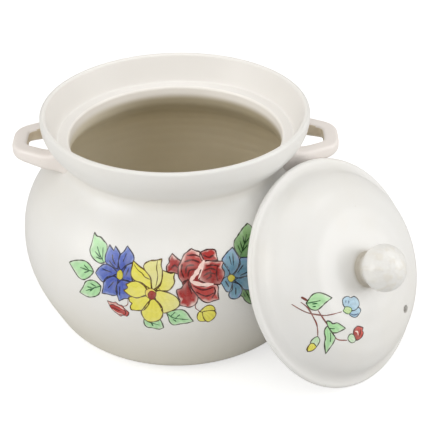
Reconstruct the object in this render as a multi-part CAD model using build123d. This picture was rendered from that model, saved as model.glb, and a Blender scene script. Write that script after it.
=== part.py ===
# Chinese sand pot: a glazed stoneware stew pot with two strap handles, and its domed lid
# standing on its edge beside it, leaned back against the shoulder.
# Millimetres, +Z up, the pot's axis on Z and its foot on the ground at Z = 0. The handles
# point along +X and -X, and the painted front faces -Y.
import os
from math import cos, radians, sin, sqrt

from build123d import *

# Pot body, outside
pot_height = 192.7
foot_radius = 88.0
heel_radius = 109.3
heel_height = 16.5
belly_radius = 130.6
belly_height = 82.0
neck_radius = 94.5
collar_height = 34.7
collar_flare = 15.5
lip_band = 3.0
lip_radius = 2.5
# Pot body, inside
wall = 7.0
floor_thickness = 8.5
gallery_step = 2.5
gallery_depth = 22.7
gallery_edge_radius = 3.0
# Strap handles
handle_length = 39.5
handle_rise = 9.5
handle_tip_height = 10.7
handle_root_height = 15.0
handle_root_half = 34.5
handle_tip_half = 17.5
handle_bend = 31.0
strap_width = 11.5
bend_radius = 20.0
corner_radius = 17.0
inner_corner_radius = 8.0
handle_top_radius = 2.5
handle_under_radius = 4.5
# Lid
lid_play = 4.2
lid_edge_thickness = 5.0
lid_flange_width = 10.8
lid_cove = 7.0
lid_seat_width = 15.3
lid_rise = 38.5
lid_wall = 5.5
steam_hole_radius = 3.3
steam_hole_offset_share = 0.614
steam_hole_angle = -58.0
# Knob on the lid
knob_radius = 18.8
knob_height = 33.0
knob_rise = 1.8
knob_neck_radius = 12.5
knob_fillet = 2.4
# The lid's stance: leaned back from upright, facing forward and right
lid_lean = 28.3
lid_facing = -44.0
lid_bearing = -31.1
lid_clearance = 0.45
stance_steps = 120
edge_steps = 8
facet_turn = 0.5
edge_angles = (0, 30, 60, 90)

# Directions of the outlines, and how strongly each end pulls its curve
up = (0, 1)
across = (1, 0)
inward = (-1, 0)
full_turn = 360
heel_start_shares = (1, 0.4)
heel_end_shares = (0.5, 1)
flank_pull_shares = (0.9, 1.2)
shoulder_pull_shares = (1.9, 0.65)
collar_pull_shares = (0.4, 1.4)
dome_end_shares = (0.4, -1)
dome_pull_shares = (0.9, 1.1)
hollow_end_shares = (0.2, -1)
hollow_pull_shares = (0.75, 1.2)
ball_start_shares = (1, 0.7)
ball_pull_shares = (1, 1)


def turned(*outline):
    """The solid that a closed outline of radius and height sweeps round the axis."""
    return revolve(Plane.XZ * make_face(Curve() + list(outline)), Axis.Z)


def side_curves(heel, belly, neck):
    """The wall's line from the heel over the belly and the shoulder to the neck."""
    flank = Spline(heel, belly, tangents=[heel_end_shares, up], tangent_scalars=flank_pull_shares)
    shoulder = Spline(belly, neck, tangents=[up, up], tangent_scalars=shoulder_pull_shares)
    return [flank, shoulder]


# The pot's outside: flat foot, round heel, swelling belly, shoulder, crisp neck and a collar
# that flares out to the lip
neck_height = pot_height - collar_height
rim_radius = neck_radius + collar_flare
lip_height = pot_height - lip_radius
heel_point = (heel_radius, heel_height)
collar_top = (rim_radius, lip_height - lip_band)
outside = [
    Spline((foot_radius, 0), heel_point, tangents=[heel_start_shares, heel_end_shares]),
    *side_curves(heel_point, (belly_radius, belly_height), (neck_radius, neck_height)),
    Spline(
        (neck_radius, neck_height),
        collar_top,
        tangents=[up, up],
        tangent_scalars=collar_pull_shares,
    ),
]
outer_lip = (rim_radius, lip_height)
pot_outside = turned(
    Line((0, 0), (foot_radius, 0)),
    *outside,
    Line(collar_top, outer_lip),
    Line(outer_lip, (0, lip_height)),
    Line((0, lip_height), (0, 0)),
)

# The pot's inside, one wall behind the outside as far as the throat, then the ledge that the
# lid sits on, and the flare up to the lip
gallery_height = pot_height - gallery_depth
gallery_radius = neck_radius + gallery_step
throat_radius = neck_radius - wall
throat_top = (throat_radius, gallery_height - gallery_edge_radius)
gallery_edge = (throat_radius + gallery_edge_radius, gallery_height)
lip_crown = (rim_radius - lip_radius, pot_height)
inner_lip = (rim_radius - 2 * lip_radius, lip_height)
heel_length = sqrt(heel_end_shares[0] ** 2 + heel_end_shares[1] ** 2)
inner_heel = (
    heel_radius - wall * heel_end_shares[1] / heel_length,
    heel_height + wall * heel_end_shares[0] / heel_length,
)
pot_body = turned(
    Line((0, 0), (foot_radius, 0)),
    *outside,
    Line(collar_top, outer_lip),
    ThreePointArc(outer_lip, lip_crown, inner_lip),
    Line(inner_lip, (gallery_radius, gallery_height)),
    Line((gallery_radius, gallery_height), gallery_edge),
    RadiusArc(throat_top, gallery_edge, gallery_edge_radius),
    Line(throat_top, (throat_radius, neck_height)),
    *side_curves(inner_heel, (belly_radius - wall, belly_height), (throat_radius, neck_height)),
    Spline((foot_radius, floor_thickness), inner_heel, tangents=[across, heel_end_shares]),
    Line((foot_radius, floor_thickness), (0, floor_thickness)),
    Line((0, floor_thickness), (0, 0)),
)

handle_reach = neck_radius + handle_length
handle_top = neck_height + handle_rise


def loop_outline(inset, corner):
    """The plan of a handle, drawn in from its outer edge by the inset."""
    root_half = handle_root_half - inset
    tip = (handle_reach - inset, handle_tip_half - inset / 2)
    side = [(0, root_half), (handle_reach - handle_bend, root_half), tip]
    points = [*side, *[(x, -y) for x, y in reversed(side)]]
    rounded = FilletPolyline(*points, radius=[bend_radius, corner, corner, bend_radius])
    return make_face(rounded + Line((0, -root_half), (0, root_half)))


def softened(face, radius):
    """Round the edges of one face of a handle, but not where it ends inside the pot."""
    return fillet(face.edges().filter_by(lambda edge: edge.center().X > strap_width), radius)


def strap_handle():
    """The right handle's level strap loop, deeper towards its roots, which run into the pot."""
    plan = loop_outline(0, corner_radius) - loop_outline(strap_width, inner_corner_radius)
    slope = (handle_root_height - handle_tip_height) / (handle_reach - neck_radius)
    axis_bottom = handle_top - handle_tip_height - slope * handle_reach
    side = Polyline(
        (0, handle_top),
        (handle_reach, handle_top),
        (handle_reach, handle_top - handle_tip_height),
        (0, axis_bottom),
        close=True,
    )
    blank = extrude(Pos(0, 0, axis_bottom) * plan, handle_top - axis_bottom)
    blank = softened(blank.faces().sort_by(Axis.Z)[-1], handle_top_radius)
    blank &= extrude(Plane.XZ * make_face(side), handle_root_half, both=True)
    underside = blank.faces().sort_by(lambda face: face.normal_at().Z)[0]
    return softened(underside, handle_under_radius)


strap = strap_handle()
handle_right = strap - pot_outside
handle_left = mirror(handle_right, about=Plane.YZ)


def dome_curve(radius, top, foot_height, end_shares, pull_shares):
    """The lid's line from its crown down the steep shoulder to its foot."""
    return Spline(
        (0, top),
        (radius, foot_height),
        tangents=[across, end_shares],
        tangent_scalars=pull_shares,
    )


# The lid about its own axis, its seating face at height 0: a flange with a round edge that
# sweeps up through a cove into a dome with a steep shoulder and a shallow crown
lid_radius = gallery_radius - lid_play
lid_edge_radius = lid_edge_thickness / 2
edge_middle = lid_radius - lid_edge_radius
dome_foot = lid_radius - lid_flange_width
dome_bottom = lid_edge_thickness + lid_cove
flange_start = (dome_foot + lid_cove, lid_edge_thickness)
hollow_radius = lid_radius - lid_seat_width
lid_side = [
    dome_curve(dome_foot, lid_rise, dome_bottom, dome_end_shares, dome_pull_shares),
    Spline((dome_foot, dome_bottom), flange_start, tangents=[dome_end_shares, across]),
    Line(flange_start, (edge_middle, lid_edge_thickness)),
    ThreePointArc(
        (edge_middle, lid_edge_thickness), (lid_radius, lid_edge_radius), (edge_middle, 0)
    ),
]
lid_outside = turned(
    *lid_side,
    Line((edge_middle, 0), (0, 0)),
    Line((0, 0), (0, lid_rise)),
)
lid_shell = turned(
    *lid_side,
    Line((edge_middle, 0), (hollow_radius, 0)),
    dome_curve(hollow_radius, lid_rise - lid_wall, 0, hollow_end_shares, hollow_pull_shares),
    Line((0, lid_rise - lid_wall), (0, lid_rise)),
)
steam_hole = Rot(0, 0, steam_hole_angle) * Pos(steam_hole_offset_share * lid_radius, 0, lid_rise)
steam_hole *= Cylinder(steam_hole_radius, 2 * lid_rise)
upright_lid = lid_shell - steam_hole

# The knob: a flattened ball on a short neck, its foot spread and coped to the crown
ball_half = knob_height / 2
ball_middle = lid_rise + knob_rise + ball_half
ball_foot = ball_middle - ball_half * sqrt(1 - (knob_neck_radius / knob_radius) ** 2)
ball = Spline(
    (knob_neck_radius, ball_foot),
    (knob_radius, ball_middle),
    (0, ball_middle + ball_half),
    tangents=[ball_start_shares, inward],
    tangent_scalars=ball_pull_shares,
)
neck_foot = lid_rise + knob_fillet
spread = knob_neck_radius + knob_fillet
knob_base = lid_rise - lid_wall
knob_blank = turned(
    ball,
    Line((0, ball_middle + ball_half), (0, knob_base)),
    Line((0, knob_base), (spread, knob_base)),
    Line((spread, knob_base), (spread, lid_rise)),
    RadiusArc((spread, lid_rise), (knob_neck_radius, neck_foot), knob_fillet),
    Line((knob_neck_radius, neck_foot), ball @ 0),
)
upright_knob = knob_blank - lid_outside

# The lid stands on its edge and leans back: its face looks along the normal, and its centre
# lies on its own bearing from the pot's axis
lean = radians(lid_lean)
facing = radians(lid_facing)
bearing = radians(lid_bearing)
normal = Vector(cos(lean) * cos(facing), cos(lean) * sin(facing), sin(lean))
level = Vector(-sin(facing), cos(facing), 0)
rise = normal.cross(level)
outward = Vector(cos(bearing), sin(bearing), 0)
stand_height = edge_middle * cos(lean) - lid_edge_radius * sin(lean) + lid_edge_radius
side_points = [curve @ (step / stance_steps) for curve in outside for step in range(stance_steps)]


def pot_radius_at(height):
    """The pot's outer radius at one height, between the two nearest points of its side."""
    below = [point for point in side_points if point.Y <= height]
    above = [point for point in side_points if point.Y > height]
    if not below or not above:
        return 0
    low = below[-1]
    high = above[0]
    return low.X + (high.X - low.X) * (height - low.Y) / (high.Y - low.Y)


# Spots all over the strap where it stands out of the pot
corners, triangles = strap.tessellate(lid_clearance, facet_turn)
strap_spots = [
    corners[first] + (corners[second] - corners[first]) * (step / edge_steps)
    for triangle in triangles
    for first, second in zip(triangle, triangle[1:] + triangle[:1])
    for step in range(edge_steps)
]
handle_spots = [
    spot for spot in strap_spots if Vector(spot.X, spot.Y, 0).length > pot_radius_at(spot.Z)
]


def distance_off_pot(radius, height):
    """How far out the lid's centre stands so that one of its rings just clears the pot."""
    needed = 0
    for step in range(stance_steps):
        turn = radians(full_turn * step / stance_steps)
        point = (rise * sin(turn) + level * cos(turn)) * radius + normal * height
        reach = pot_radius_at(point.Z + stand_height) + lid_clearance
        along = point.X * outward.X + point.Y * outward.Y
        aside = point.X ** 2 + point.Y ** 2 - along ** 2
        if reach ** 2 > aside:
            needed = max(needed, sqrt(reach ** 2 - aside) - along)
    return needed


def distance_off_handle(radius, height):
    """How far out the lid's centre stands so that one of its rings just clears the handle."""
    needed = 0
    for spot in handle_spots:
        point = spot - Vector(0, 0, stand_height)
        distance = (point.dot(normal) - height + lid_clearance) / outward.dot(normal)
        beside = point - outward * distance
        if beside.length < radius + lid_clearance:
            needed = max(needed, distance)
    return needed


# Rings round the lid's edge, from its seating face to its full width, and the hollow's mouth
edge_turns = [radians(turn) for turn in edge_angles]
rings = [
    (edge_middle + lid_edge_radius * sin(turn), lid_edge_radius * (1 - cos(turn)))
    for turn in edge_turns
]
rings.append((hollow_radius, 0))
stand_distance = max(
    max(distance_off_pot(*ring), distance_off_handle(*ring)) for ring in rings
)
stance = Plane(
    origin=outward * stand_distance + Vector(0, 0, stand_height),
    x_dir=level,
    z_dir=normal,
)

os.makedirs("parts", exist_ok=True)
for name, piece in {
    "pot_body": pot_body,
    "handle_right": handle_right,
    "handle_left": handle_left,
    "lid": stance * upright_lid,
    "lid_knob": stance * upright_knob,
}.items():
    export_step(piece, f"parts/{name}.step")
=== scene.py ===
from math import acos, atan2, cos, degrees, exp, hypot, pi, radians, sin

import bpy
from mathutils import Matrix, Vector


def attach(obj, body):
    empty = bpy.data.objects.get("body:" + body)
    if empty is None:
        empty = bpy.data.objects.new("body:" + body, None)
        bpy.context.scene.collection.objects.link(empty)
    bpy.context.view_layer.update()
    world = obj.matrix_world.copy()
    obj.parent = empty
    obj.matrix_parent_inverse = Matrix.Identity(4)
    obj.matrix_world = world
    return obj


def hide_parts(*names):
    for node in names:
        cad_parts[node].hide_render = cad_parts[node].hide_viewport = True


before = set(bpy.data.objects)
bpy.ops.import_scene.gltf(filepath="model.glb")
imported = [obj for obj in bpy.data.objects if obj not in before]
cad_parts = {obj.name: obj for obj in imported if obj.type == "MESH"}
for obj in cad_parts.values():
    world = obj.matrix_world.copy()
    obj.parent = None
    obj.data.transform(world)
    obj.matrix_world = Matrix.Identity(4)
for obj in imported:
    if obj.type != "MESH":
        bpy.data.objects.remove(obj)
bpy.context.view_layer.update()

# Pot body
# A thick stoneware jar, thrown and turned in one piece: flat foot, round heel, swelling belly,
# crisp neck, and a collar that flares to a rolled lip. Inside the collar a level ledge, the
# gallery, carries the lid. Off-white glaze outside, tan glaze inside, bare clay under the foot.
mm = 0.001
pot_height = 192.7 * mm
foot_radius = 88 * mm
heel = (109.3 * mm, 16.5 * mm)
belly = (130.6 * mm, 82 * mm)
neck = (94.5 * mm, 158 * mm)
rim_radius = 110 * mm
lip_radius = 2.5 * mm
wall = 7 * mm
floor_top = 8.5 * mm
throat_radius = 87.5 * mm
ledge_height = 170 * mm
ledge_radius = 97 * mm
ledge_round = 3 * mm
ledge_cove = 1.2 * mm
up = (0, 1)
flat = (1, 0)
heel_start = (1, 0.4)
heel_end = (0.5, 1)
wall_pulls = ((1.05, 1.05), (0.9, 1.2), (1.9, 0.65))
outer_steps = (12, 26, 40)
inner_steps = (8, 20, 30)
collar_pulls = (0.4, 1.4)
collar_below_lip = 3 * mm
bare_foot_height = 1.2 * mm
bare_foot_margin = 2 * mm
tan_glaze_below_ledge = 0.6 * mm
turns = 192
sharp_edge = radians(38)
weld = 0.01 * mm


def unit(way):
    return (way[0] / hypot(*way), way[1] / hypot(*way))


def line_weights(share):
    """What the start, its way, the end and its way count for along a smooth line."""
    square = share * share
    cube = square * share
    return (
        2 * cube - 3 * square + 1,
        cube - 2 * square + share,
        3 * square - 2 * cube,
        cube - square,
    )


def sweep_line(start, end, start_way, end_way, start_pull, end_pull, steps):
    """Points of a smooth line of radius and height, without its first point."""
    reach = hypot(end[0] - start[0], end[1] - start[1])
    leave = [value * start_pull * reach for value in unit(start_way)]
    arrive = [value * end_pull * reach for value in unit(end_way)]
    points = []
    for step in range(1, steps + 1):
        weights = line_weights(step / steps)
        points.append(tuple(
            sum(weight * part[axis] for weight, part in zip(weights, (start, leave, end, arrive)))
            for axis in (0, 1)
        ))
    return points


def raise_wall(corners, foot_way, steps):
    """One side of the wall, from its foot by heel and belly to the neck."""
    ways = (foot_way, heel_end, up, up)
    line = []
    for number, pulls in enumerate(wall_pulls):
        line += sweep_line(
            corners[number], corners[number + 1], ways[number], ways[number + 1], *pulls,
            steps=steps[number])
    return line


def roll(middle, radius, first, last, steps):
    """Points of an arc of radius and height, angles in degrees."""
    points = []
    for step in range(steps + 1):
        turn = radians(first + (last - first) * step / steps)
        points.append((middle[0] + radius * cos(turn), middle[1] + radius * sin(turn)))
    return points


def throw(name, outline):
    """Spin an outline of radius and height once round the axis, as clay turns on a wheel."""
    bpy.ops.object.select_all(action="DESELECT")
    bpy.ops.mesh.primitive_plane_add(size=mm, location=(outline[0][0], 0, outline[0][1]))
    bpy.ops.object.transform_apply(location=True, rotation=True, scale=True)
    piece = bpy.context.object
    piece.name = name
    bpy.ops.object.mode_set(mode="EDIT")
    bpy.ops.mesh.select_all(action="SELECT")
    bpy.ops.mesh.merge(type="CENTER")
    for here, there in zip(outline, outline[1:]):
        move = (there[0] - here[0], 0, there[1] - here[1])
        bpy.ops.mesh.extrude_region_move(TRANSFORM_OT_translate={"value": move})
    bpy.ops.mesh.select_all(action="SELECT")
    bpy.ops.mesh.spin(steps=turns, angle=radians(360), center=(0, 0, 0), axis=(0, 0, 1))
    bpy.ops.mesh.select_all(action="SELECT")
    bpy.ops.mesh.remove_doubles(threshold=weld)
    bpy.ops.mesh.normals_make_consistent(inside=False)
    bpy.ops.object.mode_set(mode="OBJECT")
    bpy.ops.object.shade_smooth_by_angle(angle=sharp_edge)
    return piece


foot = (foot_radius, 0)
outer_wall = [foot, *raise_wall([foot, heel, belly, neck], heel_start, outer_steps)]
lip_middle = (rim_radius - lip_radius, pot_height - lip_radius)
collar_top = (rim_radius, lip_middle[1] - collar_below_lip)
collar = sweep_line(neck, collar_top, up, up, *collar_pulls, steps=18)
inner_heel = (
    heel[0] - wall * unit(heel_end)[1],
    heel[1] + wall * unit(heel_end)[0],
)
inner_belly = (belly[0] - wall, belly[1])
throat_foot = (throat_radius, neck[1])
inner_floor = (foot_radius, floor_top)
inside_corners = [inner_floor, inner_heel, inner_belly, throat_foot]
inside_up = raise_wall(inside_corners, flat, inner_steps)
throat_edge = (throat_radius + ledge_round, ledge_height - ledge_round)
ledge_corner = (ledge_radius - ledge_cove, ledge_height + ledge_cove)
pot_outline = [(0, 0), (foot_radius / 2, 0), *outer_wall, *collar]
pot_outline += roll(lip_middle, lip_radius, 0, 180, steps=12)
pot_outline += roll(ledge_corner, ledge_cove, 0, -90, steps=4)
pot_outline += roll(throat_edge, ledge_round, 90, 180, steps=6)
pot_outline += [*reversed(inside_up), inner_floor, (foot_radius / 2, floor_top), (0, floor_top)]
pot = throw("stoneware_pot", pot_outline)


def wall_radius(height):
    """Outside radius of the pot's wall below the lip, at one height."""
    line = outer_wall + collar
    for low, high in zip(line, line[1:]):
        if low[1] <= height <= high[1]:
            share = (height - low[1]) / (high[1] - low[1])
            return low[0] + (high[0] - low[0]) * share
    return rim_radius


class Tone:
    """A value inside a finish: sums and products on it add the finish's Math nodes."""

    def __init__(self, finish, socket):
        self.finish = finish
        self.socket = socket

    def work(self, operation, first, second=0.0):
        settings = {"operation": operation}
        return self.finish.node("ShaderNodeMath", settings, {0: first, 1: second})

    def __add__(self, other):
        return self.work("ADD", self, other)

    def __radd__(self, other):
        return self.work("ADD", other, self)

    def __sub__(self, other):
        return self.work("SUBTRACT", self, other)

    def __rsub__(self, other):
        return self.work("SUBTRACT", other, self)

    def __mul__(self, other):
        return self.work("MULTIPLY", self, other)

    def __rmul__(self, other):
        return self.work("MULTIPLY", other, self)

    def __pow__(self, other):
        return self.work("POWER", self, other)

    def fade(self, low, high):
        """0 below low, 1 above high, and a soft step between."""
        settings = {"interpolation_type": "SMOOTHSTEP"}
        values = {"Value": self, "From Min": low, "From Max": high}
        return self.finish.node("ShaderNodeMapRange", settings, values)


class Finish:
    """A glaze or clay: one material with a Principled shader, and the nodes that feed it."""

    def __init__(self, name, wheel=False):
        self.wheel = wheel
        self.material = bpy.data.materials.new(name)
        self.material.use_nodes = True
        self.tree = self.material.node_tree
        self.shader = self.tree.nodes["Principled BSDF"]

    def node(self, kind, settings, values, output=0):
        made = self.tree.nodes.new(kind)
        for name, value in settings.items():
            setattr(made, name, value)
        for key, value in values.items():
            self.feed(made.inputs[key], value)
        return Tone(self, made.outputs[output])

    def feed(self, socket, value):
        if isinstance(value, Tone):
            self.tree.links.new(value.socket, socket)
        else:
            socket.default_value = value

    def look(self, name, value):
        """Set or feed one input of the shader."""
        self.feed(self.shader.inputs[name], value)

    def place(self):
        """Object coordinates, or the place that a stood-up piece had on the wheel."""
        if self.wheel:
            return self.node("ShaderNodeAttribute", {"attribute_name": "wheel"}, {}, "Vector")
        return self.node("ShaderNodeTexCoord", {}, {}, "Object")

    def axis(self, name):
        return self.node("ShaderNodeSeparateXYZ", {}, {0: self.place()}, name)

    def out(self):
        """Distance from the axis."""
        return (self.axis("X") ** 2 + self.axis("Y") ** 2) ** 0.5

    def noise(self, scale, detail=3.0, where=None):
        values = {"Vector": where or self.place(), "Scale": scale, "Detail": detail}
        return self.node("ShaderNodeTexNoise", {}, values, "Fac")

    def blend(self, share, first, second):
        """A colour between two colours."""
        values = {0: share, 6: first, 7: second}
        return self.node("ShaderNodeMix", {"data_type": "RGBA"}, values, 2)

    def bump(self, height, distance):
        return self.node("ShaderNodeBump", {}, {"Height": height, "Distance": distance})


glaze_white = (0.800, 0.793, 0.773, 1)
glaze_cream = (0.745, 0.710, 0.640, 1)
heel_painted_shade = (0.770, 0.735, 0.640, 1)
collar_painted_light = (0.890, 0.867, 0.838, 1)
knob_foot_painted_shade = (0.430, 0.385, 0.310, 1)
iron_speck = (0.33, 0.24, 0.15, 1)
crease_start = (150 * mm, 157 * mm)
crease_end = (159 * mm, 170 * mm)
heel_shade_top = 90 * mm
collar_light_start = (169 * mm, 170 * mm)
collar_slope = 0.323
collar_middle = (44.7 * mm, 45.8 * mm)
finger_marks = (150, 150, 32)
speck_edge = (0.02, 0.05)
crease_shade_share = 0.35
streak_reflection_share = 0.75
speck_share = 0.7
glaze_depth = 0.9 * mm
glaze_ior = 1.5


def white_glaze(
        name, turned, white=glaze_white, cream=glaze_cream, wheel=False, shaded=None,
        scraped=False):
    """The off-white satin glaze: turned has throwing rings, tints, painted shade towards the foot
    and in the neck crease and painted light inside the collar; wheel follows a piece that was
    stood up, shaded is where shade is painted, and scraped has the marks of fingers, also painted
    into the colour as a streaky reflection."""
    glaze = Finish(name, wheel)
    cloud = glaze.noise(scale=9.0, detail=4.0)
    pool = glaze.noise(scale=38.0)
    tint = cloud.fade(0.35, 0.75) * 0.30 + pool.fade(0.45, 0.8) * 0.12
    if turned:
        height = glaze.axis("Z")
        # darker in the neck crease, where glaze pools and where painted shade stands for the
        # collar's overhang
        crease = height.fade(*crease_start) * (1 - height.fade(*crease_end))
        tint = tint + crease * crease_shade_share
    colour = glaze.blend(tint, white, cream)
    if turned:
        # painted shade: warmer and darker towards the foot
        colour = glaze.blend(1 - height.fade(0.0, heel_shade_top), colour, heel_painted_shade)
        # painted light: lighter and a little rosy inside the collar
        outside = (glaze.out() - height * collar_slope).fade(*collar_middle)
        inside = height.fade(*collar_light_start) * (1 - outside)
        colour = glaze.blend(inside, colour, collar_painted_light)
    if scraped:
        # drawn along the ball by the fingers that shaped it; in the colour the streaks are a
        # painted streaky reflection
        long = glaze.node(
            "ShaderNodeVectorMath", {"operation": "MULTIPLY"},
            {0: glaze.place(), 1: finger_marks}, "Vector")
        streaks = glaze.noise(scale=1.0, where=long)
        colour = glaze.blend(streaks.fade(0.42, 0.70) * streak_reflection_share, colour, glaze_cream)
    if shaded:
        # painted shade where shaded asks for it
        colour = glaze.blend(shaded(glaze), colour, knob_foot_painted_shade)
    speck = glaze.node(
        "ShaderNodeTexVoronoi", {"feature": "F1"},
        {"Vector": glaze.place(), "Scale": 85.0, "Randomness": 1.0}, "Distance")
    scatter = glaze.noise(scale=45.0, detail=1.0)
    dots = (1 - speck.fade(*speck_edge)) * scatter.fade(0.60, 0.66)
    colour = glaze.blend(dots * speck_share, colour, iron_speck)
    glaze.look("Base Color", colour)
    rough = glaze.noise(scale=22.0, detail=2.0) * 0.12 + 0.27
    glaze.look("Roughness", rough + dots * 0.2)
    orange_peel = glaze.noise(scale=140.0, detail=2.0) * 0.06
    ripple = glaze.noise(scale=26.0, detail=2.0) * 0.6 + orange_peel
    if turned:
        rings = glaze.node(
            "ShaderNodeTexWave", {"bands_direction": "Z"},
            {"Vector": glaze.place(), "Scale": 24.0, "Distortion": 1.2, "Detail": 1.0,
             "Detail Scale": 0.6}, "Fac")
        ripple = ripple + rings * 0.05
    if scraped:
        ripple = ripple + streaks * 1.5
    glaze.look("Normal", glaze.bump(ripple, glaze_depth))
    glaze.look("IOR", glaze_ior)
    return glaze.material


outside_glaze = white_glaze("off_white_glaze_turned", True)

inside_tan = (0.730, 0.660, 0.520, 1)
inside_olive = (0.660, 0.590, 0.440, 1)
# painted light: the left inner wall lighter, where light from the right falls in
inside_painted_light = (0.930, 0.880, 0.750, 1)
# painted shade: the inner wall darker just below the throat
throat_painted_shade = (0.470, 0.415, 0.300, 1)
# white glaze down the throat, made lighter than the outside glaze as painted light
throat_glaze_and_light = (0.965, 0.935, 0.895, 1)
under_throat = (125 * mm, 152 * mm)
throat = (157 * mm, 164 * mm)
painted_light_side = (20 * mm, 100 * mm)
inside_glaze = Finish("tan_glaze_inside")
inside_cloud = inside_glaze.noise(scale=14.0, detail=4.0)
inside_rings = inside_glaze.node(
    "ShaderNodeTexWave", {"bands_direction": "Z"},
    {"Vector": inside_glaze.place(), "Scale": 30.0, "Distortion": 2.0, "Detail": 2.0}, "Fac")
inside_colour = inside_glaze.blend(
    inside_cloud.fade(0.3, 0.75) * 0.8 + inside_rings * 0.1, inside_tan, inside_olive)
for share, tone in (
    (inside_glaze.axis("Z").fade(*under_throat), throat_painted_shade),
    ((0 - inside_glaze.axis("X")).fade(*painted_light_side) * 0.9, inside_painted_light),
    (inside_glaze.axis("Z").fade(*throat), throat_glaze_and_light),
):
    inside_colour = inside_glaze.blend(share, inside_colour, tone)
inside_ripple = inside_rings * 0.3 + inside_glaze.noise(scale=40.0)
inside_glaze.look("Base Color", inside_colour)
inside_glaze.look("Roughness", inside_cloud * 0.12 + 0.28)
inside_glaze.look("Normal", inside_glaze.bump(inside_ripple, 0.6 * mm))

fired_clay = (0.52, 0.42, 0.31, 1)
pale_clay = (0.63, 0.54, 0.42, 1)
bare_clay = Finish("bare_stoneware_foot")
grit = bare_clay.noise(scale=420.0, detail=5.0)
bare_clay.look("Base Color", bare_clay.blend(grit.fade(0.35, 0.7), fired_clay, pale_clay))
bare_clay.look("Roughness", grit * 0.2 + 0.7)
bare_clay.look("Normal", bare_clay.bump(grit, 0.35 * mm))

pot_finishes = [outside_glaze, inside_glaze.material, bare_clay.material]
for finish in pot_finishes:
    pot.data.materials.append(finish)
for face in pot.data.polygons:
    radius = hypot(face.center.x, face.center.y)
    height = face.center.z
    if height < bare_foot_height and radius < foot_radius + bare_foot_margin:
        face.material_index = pot_finishes.index(bare_clay.material)
    elif height < ledge_height - tan_glaze_below_ledge and radius < wall_radius(height) - wall / 2:
        face.material_index = pot_finishes.index(inside_glaze.material)
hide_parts("pot_body")
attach(pot, "pot")

# Strap handles
# Two flat straps of clay, cut, bent to a level loop while leather-hard, and luted to the
# shoulder with slip that is smoothed out round each root. The arrises are softened by the
# glaze, and the loop's inner walls are coloured tan.
strap_top = 167.5 * mm
strap_width = 12.4 * mm
strap_tip_depth = 10.7 * mm
strap_root_depth = 15 * mm
strap_reach = 134 * mm
arm_start = 84 * mm
arm_half = 34.5 * mm - strap_width / 2
bend_at = 103 * mm
tip_half = 14.6 * mm
root_bend = 17 * mm
tip_bend = 13 * mm
strap_step = 2.2 * mm
top_arris = 2.6 * mm
under_arris = 4.4 * mm
luting = 3.4 * mm
luting_run = 3.0 * mm
loop_middle = Vector((100 * mm, 0, 0))
facing_loop = -0.55
steepest_top = 0.5


def rounded_path(corners, radii, steps):
    """Points of a plan line whose inner corners are bent round the given radii."""
    points = [Vector(corners[0])]
    for before, corner, after, radius in zip(corners, corners[1:], corners[2:], radii):
        corner = Vector(corner)
        into = (corner - Vector(before)).normalized()
        out = (Vector(after) - corner).normalized()
        half_turn = into.angle(out) / 2
        back = radius * sin(half_turn) / cos(half_turn)
        middle = corner + (out - into).normalized() * radius / cos(half_turn)
        start = corner - into * back - middle
        side = 1 if into.cross(out) > 0 else -1
        for step in range(steps + 1):
            turn = side * 2 * half_turn * step / steps
            points.append(middle + Matrix.Rotation(turn, 2) @ start)
    points.append(Vector(corners[-1]))
    return points


def round_arrises(piece, chosen, radius, segments):
    """Round the corners of the strap's section whose heights are chosen."""
    bpy.ops.mesh.select_all(action="DESELECT")
    bpy.ops.object.mode_set(mode="OBJECT")
    for point in piece.data.vertices:
        point.select = chosen(point.co.z)
    bpy.ops.object.mode_set(mode="EDIT")
    bpy.ops.mesh.bevel(offset=radius, segments=segments, affect="VERTICES")


def pick(piece):
    """Select one piece alone and make it the active one."""
    bpy.ops.object.select_all(action="DESELECT")
    piece.select_set(True)
    bpy.context.view_layer.objects.active = piece


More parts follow.
